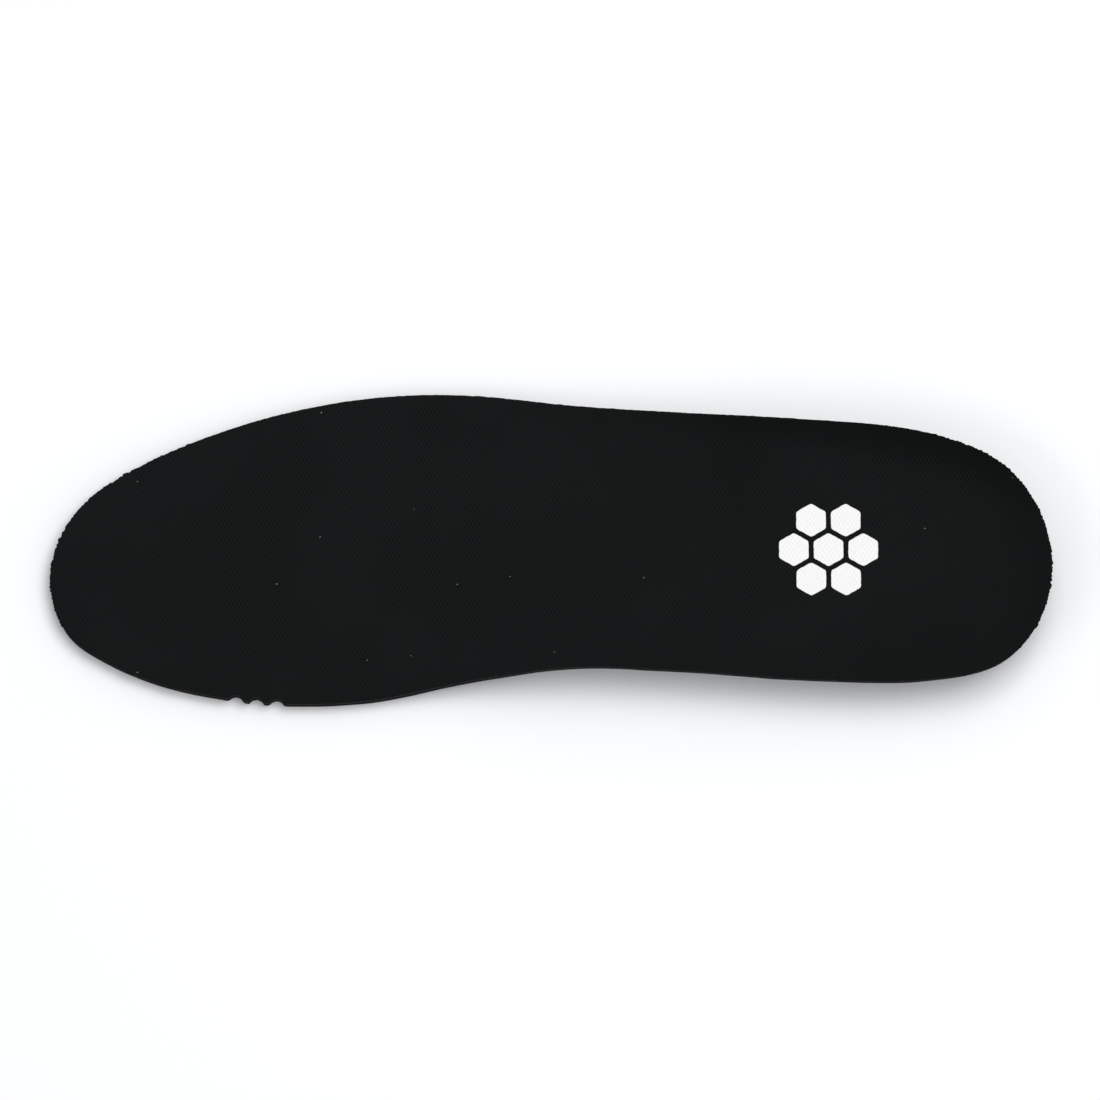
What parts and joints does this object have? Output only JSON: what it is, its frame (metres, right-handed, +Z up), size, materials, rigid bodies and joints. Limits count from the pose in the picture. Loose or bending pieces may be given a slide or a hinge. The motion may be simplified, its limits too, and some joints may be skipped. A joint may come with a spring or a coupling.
{
  "type": "cushioned insole",
  "caption": "Cushioned insole for a right shoe: knitted cover on soft foam, moulded base with heel cup and raised arch, and soft pads let into the underside.",
  "frame": {"origin": "centre of the insole's plan box, on the floor that its flat underside lies on", "axes": "+X to the toe, +Y to the medial (arch) edge, +Z up through the cover"},
  "size_m": [0.28, 0.0886, 0.018],
  "materials": {
    "knit_cover": "matt warp-knit mesh",
    "soft_foam": "open-cell foam, cut edge",
    "moulded_foam": "satin moulded skin",
    "gel_pad": "satin, slightly tacky",
    "adhesive": "dried glue film",
    "print_ink": "matt transfer print"
  },
  "bodies": {
    "rearfoot": {"top_cover_rear": "knit_cover", "cushion_layer_rear": "soft_foam", "foam_base_rear": "moulded_foam", "heel_pad": "gel_pad", "heel_pad_adhesive": "adhesive", "heel_print": "print_ink"},
    "toe": {"top_cover_toe": "knit_cover", "cushion_layer_toe": "soft_foam", "foam_base_toe": "moulded_foam", "forefoot_pad": "gel_pad", "forefoot_pad_adhesive": "adhesive"}
  },
  "joints": [
    {"name": "toe_flex", "type": "hinge", "parent": "rearfoot", "child": "toe", "pos_m": [0.034, 0, 0.0065], "axis": [-0.2588, -0.9659, 0], "range_deg": [0, 50], "stiffness_Nm_per_rad": 0.05}
  ]
}
